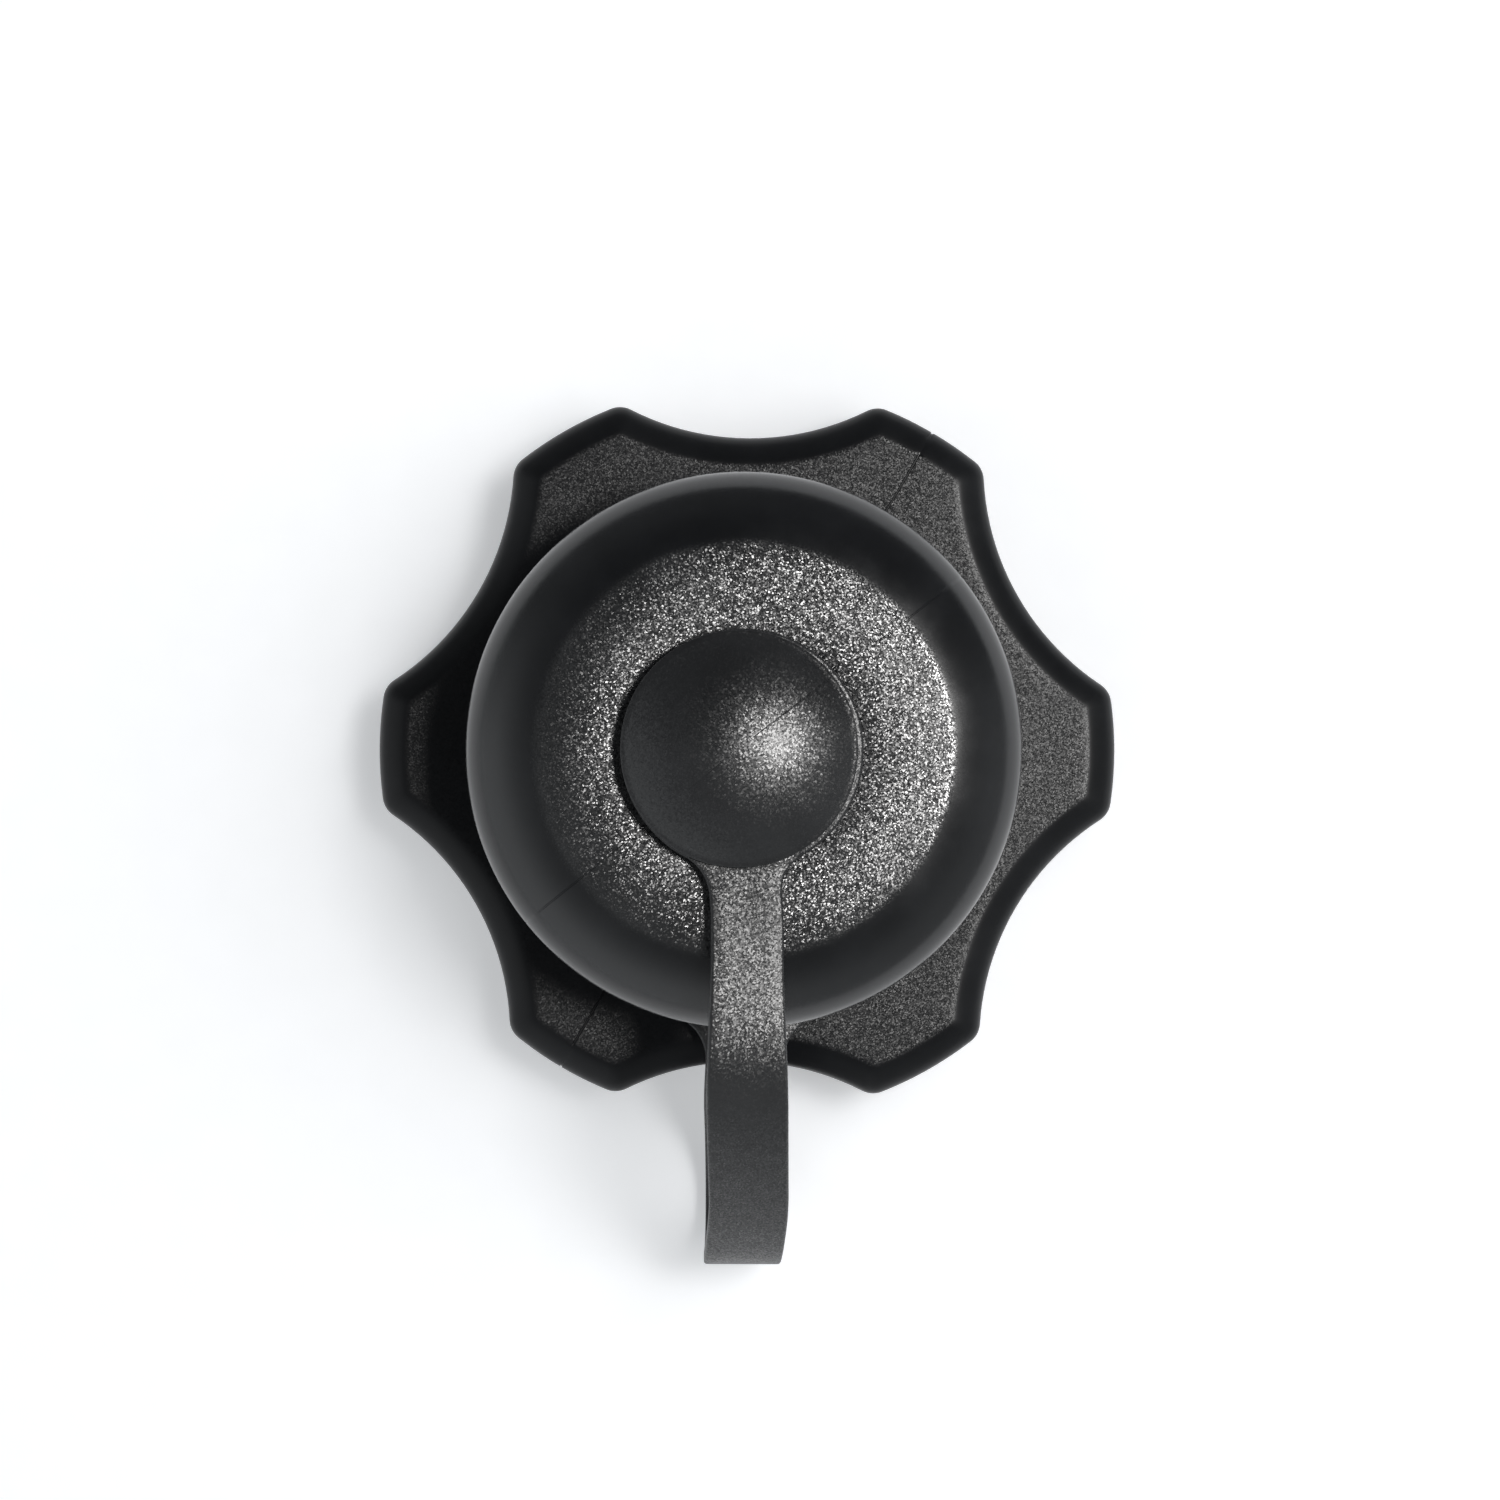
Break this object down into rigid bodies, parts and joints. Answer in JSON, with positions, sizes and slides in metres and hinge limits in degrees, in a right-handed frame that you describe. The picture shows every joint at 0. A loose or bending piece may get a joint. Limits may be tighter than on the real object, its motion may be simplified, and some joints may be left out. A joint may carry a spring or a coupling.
{
  "type": "lockable wing nut",
  "caption": "Six-lobed black clamping wing nut with a domed lock cover, a threaded steel core that the grip can freewheel on, and a rubber dust cap on a strap.",
  "frame": {"origin": "on the bolt's axis, in the face of the pressure foot that bears on the work or rests on a table", "axes": "+Z along the bolt's axis towards the dust cap, -Y towards the loop of the strap"},
  "size_m": [0.07, 0.0815, 0.0354],
  "materials": {
    "black_nylon": "moulded glass-filled nylon with a spark-eroded grain, smooth round edges",
    "black_rubber": "moulded rubber, fine matt grain, slightly glossy edges",
    "zinc_plated_steel": "turned and zinc plated",
    "brass": "machined",
    "die_cast_zinc": "die cast, satin",
    "spring_steel": "drawn and polished wire",
    "acetal": "natural white moulding"
  },
  "bodies": {
    "core": {"pressure_foot": "zinc_plated_steel", "threaded_insert": "brass", "clutch_crown": "zinc_plated_steel", "crown_circlip": "spring_steel"},
    "grip": {"grip_base": "black_nylon", "dome_shell": "black_nylon", "dome_screw_1": "zinc_plated_steel", "dome_screw_2": "zinc_plated_steel", "dome_screw_3": "zinc_plated_steel", "thrust_washer": "acetal", "bearing_bush": "acetal", "lock_gasket": "black_rubber", "lock_housing": "die_cast_zinc", "housing_nut": "zinc_plated_steel"},
    "lock": {"lock_plug": "brass", "plug_circlip": "spring_steel", "drive_cam": "die_cast_zinc", "cam_screw": "zinc_plated_steel", "wafer_spring_1": "spring_steel", "wafer_spring_2": "spring_steel", "wafer_spring_3": "spring_steel", "wafer_spring_4": "spring_steel"},
    "dog": {"clutch_dog": "acetal", "clutch_spring": "spring_steel"},
    "wafer_1": {"wafer_1": "brass"},
    "wafer_2": {"wafer_2": "brass"},
    "wafer_3": {"wafer_3": "brass"},
    "wafer_4": {"wafer_4": "brass"},
    "tether": {"tether_ring": "black_rubber", "tether_strap": "black_rubber"},
    "cap": {"dust_cap": "black_rubber"}
  },
  "joints": [
    {"name": "grip_spin", "type": "hinge", "parent": "core", "child": "grip", "pos_m": [0, 0, 0.006], "axis": [0, 0, 1], "continuous": true},
    {"name": "lock_turn", "type": "hinge", "parent": "grip", "child": "lock", "pos_m": [0, 0, 0.023], "axis": [0, 0, 1], "range_deg": [0, 90]},
    {"name": "dog_travel", "type": "slide", "parent": "grip", "child": "dog", "axis": [0, 0, -1], "range_m": [0, 0.0016], "deforming": ["clutch_spring"]},
    {"name": "wafer_1_lift", "type": "slide", "parent": "lock", "child": "wafer_1", "axis": [-1, 0, 0], "range_m": [0, 0.0016], "stiffness_N_per_m": 20, "deforming": ["wafer_spring_1"]},
    {"name": "wafer_2_lift", "type": "slide", "parent": "lock", "child": "wafer_2", "axis": [-1, 0, 0], "range_m": [0, 0.0016], "stiffness_N_per_m": 20, "deforming": ["wafer_spring_2"]},
    {"name": "wafer_3_lift", "type": "slide", "parent": "lock", "child": "wafer_3", "axis": [-1, 0, 0], "range_m": [0, 0.0016], "stiffness_N_per_m": 20, "deforming": ["wafer_spring_3"]},
    {"name": "wafer_4_lift", "type": "slide", "parent": "lock", "child": "wafer_4", "axis": [-1, 0, 0], "range_m": [0, 0.0016], "stiffness_N_per_m": 20, "deforming": ["wafer_spring_4"]},
    {"name": "tether_swivel", "type": "hinge", "parent": "grip", "child": "tether", "pos_m": [0, 0, 0.011], "axis": [0, 0, 1], "range_deg": [-5, 5]},
    {"name": "cap_pull", "type": "slide", "parent": "tether", "child": "cap", "axis": [0, 0, 1], "range_m": [0, 0.012], "deforming": ["tether_strap"]}
  ],
  "couplings": [
    {"joint": "dog_travel", "follows": "lock_turn", "m_per_rad": 0.0010185},
    {"joint": "wafer_2_lift", "follows": "wafer_1_lift", "ratio": 0.75},
    {"joint": "wafer_3_lift", "follows": "wafer_1_lift", "ratio": 1},
    {"joint": "wafer_4_lift", "follows": "wafer_1_lift", "ratio": 0.5}
  ]
}
